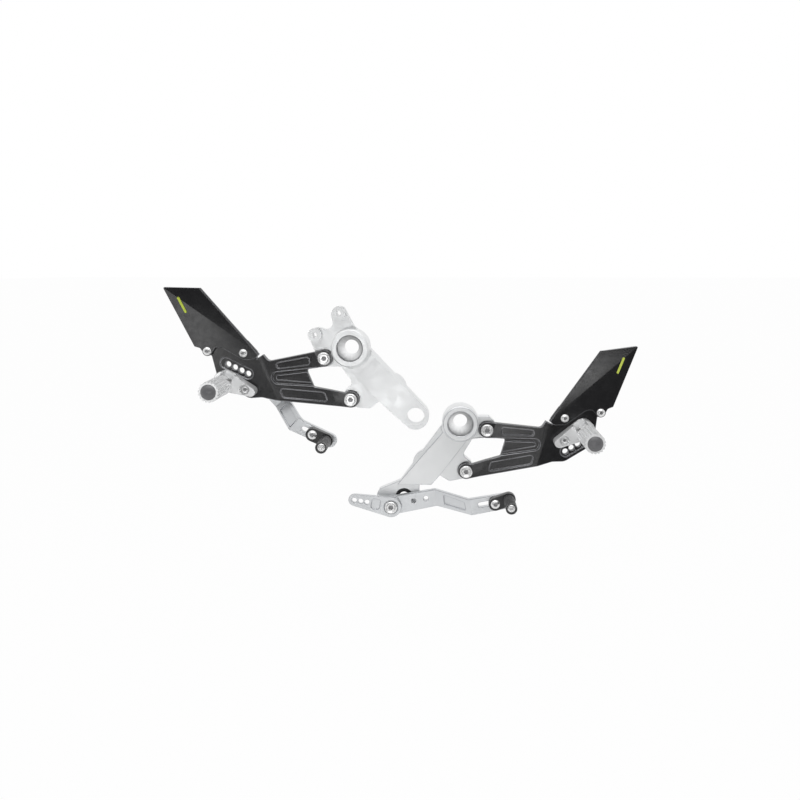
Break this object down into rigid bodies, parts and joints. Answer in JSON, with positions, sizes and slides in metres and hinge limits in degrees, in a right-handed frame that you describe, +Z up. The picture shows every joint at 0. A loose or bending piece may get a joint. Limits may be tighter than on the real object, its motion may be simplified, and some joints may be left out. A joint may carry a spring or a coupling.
{
  "type": "motorbike rear set footrests",
  "caption": "Pair of motorbike rear sets: frame plates, stepped adjustable peg plates with heel guards, folding toothed footpegs, brake pedal and gear lever.",
  "frame": {"origin": "centre of the brake side hub bore at the back face of its frame plate (Y = 0)", "axes": "+Z up; -Y outward from the motorbike, towards the viewer and the footpegs; +X from the brake side to the shift side. The shift side stands 136 mm along +X, 98 mm lower and 30 mm behind, as the pair is laid out in the picture."},
  "size_m": [0.5742, 0.1338, 0.2959],
  "materials": {
    "frame_aluminium": "satin, fine bead-blasted",
    "lever_aluminium": "satin, silver anodised",
    "block_aluminium": "satin, silver anodised",
    "peg_aluminium": "bright turned and milled",
    "black_anodised": "black anodised, low sheen",
    "toe_peg_black": "black anodised, ribbed",
    "stainless": "bright machined",
    "spring_steel": "drawn wire",
    "bush_bronze": "turned bearing bronze",
    "cap_grey": "fine matt",
    "eye_bush_black": "fine matt"
  },
  "bodies": {
    "frame_plates": {"brake_frame_plate": "frame_aluminium", "brake_peg_plate": "black_anodised", "brake_plate_bolts": "stainless", "brake_heel_guard": "black_anodised", "brake_heel_guard_screws": "stainless", "brake_peg_block": "block_aluminium", "brake_peg_block_screws": "stainless", "brake_peg_block_nut": "stainless", "brake_peg_hinge_pin": "stainless", "brake_peg_spring": "spring_steel", "brake_pedal_bolt": "stainless", "shift_frame_plate": "frame_aluminium", "shift_peg_plate": "black_anodised", "shift_plate_bolts": "stainless", "shift_heel_guard": "black_anodised", "shift_heel_guard_screws": "stainless", "shift_peg_block": "block_aluminium", "shift_peg_block_screws": "stainless", "shift_peg_block_nut": "stainless", "shift_peg_hinge_pin": "stainless", "shift_peg_spring": "spring_steel", "gear_lever_bolt": "stainless", "shift_eye_bush": "eye_bush_black"},
    "pedal": {"brake_pedal": "lever_aluminium", "brake_pedal_bush": "bush_bronze", "brake_toe_link": "black_anodised", "brake_toe_link_screw": "stainless", "brake_toe_link_nut": "stainless", "brake_toe_peg": "toe_peg_black", "brake_toe_peg_screw": "stainless"},
    "lever": {"gear_lever": "lever_aluminium", "gear_lever_bush": "bush_bronze", "shift_arm": "lever_aluminium", "shift_arm_dowel": "stainless", "shift_toe_link": "black_anodised", "shift_toe_link_screw": "stainless", "shift_toe_link_nut": "stainless", "shift_toe_peg": "toe_peg_black", "shift_toe_peg_screw": "stainless"},
    "brake_peg": {"brake_footpeg": "peg_aluminium", "brake_peg_end_cap": "cap_grey"},
    "shift_peg": {"shift_footpeg": "peg_aluminium", "shift_peg_end_cap": "cap_grey"}
  },
  "joints": [
    {"name": "brake_pedal_pivot", "type": "hinge", "parent": "frame_plates", "child": "pedal", "pos_m": [-0.10288, -0.009, -0.05243], "axis": [0, 1, 0], "range_deg": [0, 12]},
    {"name": "gear_lever_pivot", "type": "hinge", "parent": "frame_plates", "child": "lever", "pos_m": [0.0477, 0.011, -0.2088], "axis": [0, -1, 0], "range_deg": [-12, 12]},
    {"name": "brake_footpeg_fold", "type": "hinge", "parent": "frame_plates", "child": "brake_peg", "pos_m": [-0.15356, -0.0385, -0.03855], "axis": [-0.9026, 0, 0.4305], "range_deg": [0, 45], "stiffness_Nm_per_rad": 0.2, "springref_deg": -28.65},
    {"name": "shift_footpeg_fold", "type": "hinge", "parent": "frame_plates", "child": "shift_peg", "pos_m": [0.28971, -0.0085, -0.10014], "axis": [-0.8434, 0, -0.5373], "range_deg": [0, 45], "stiffness_Nm_per_rad": 0.2, "springref_deg": -28.65}
  ]
}
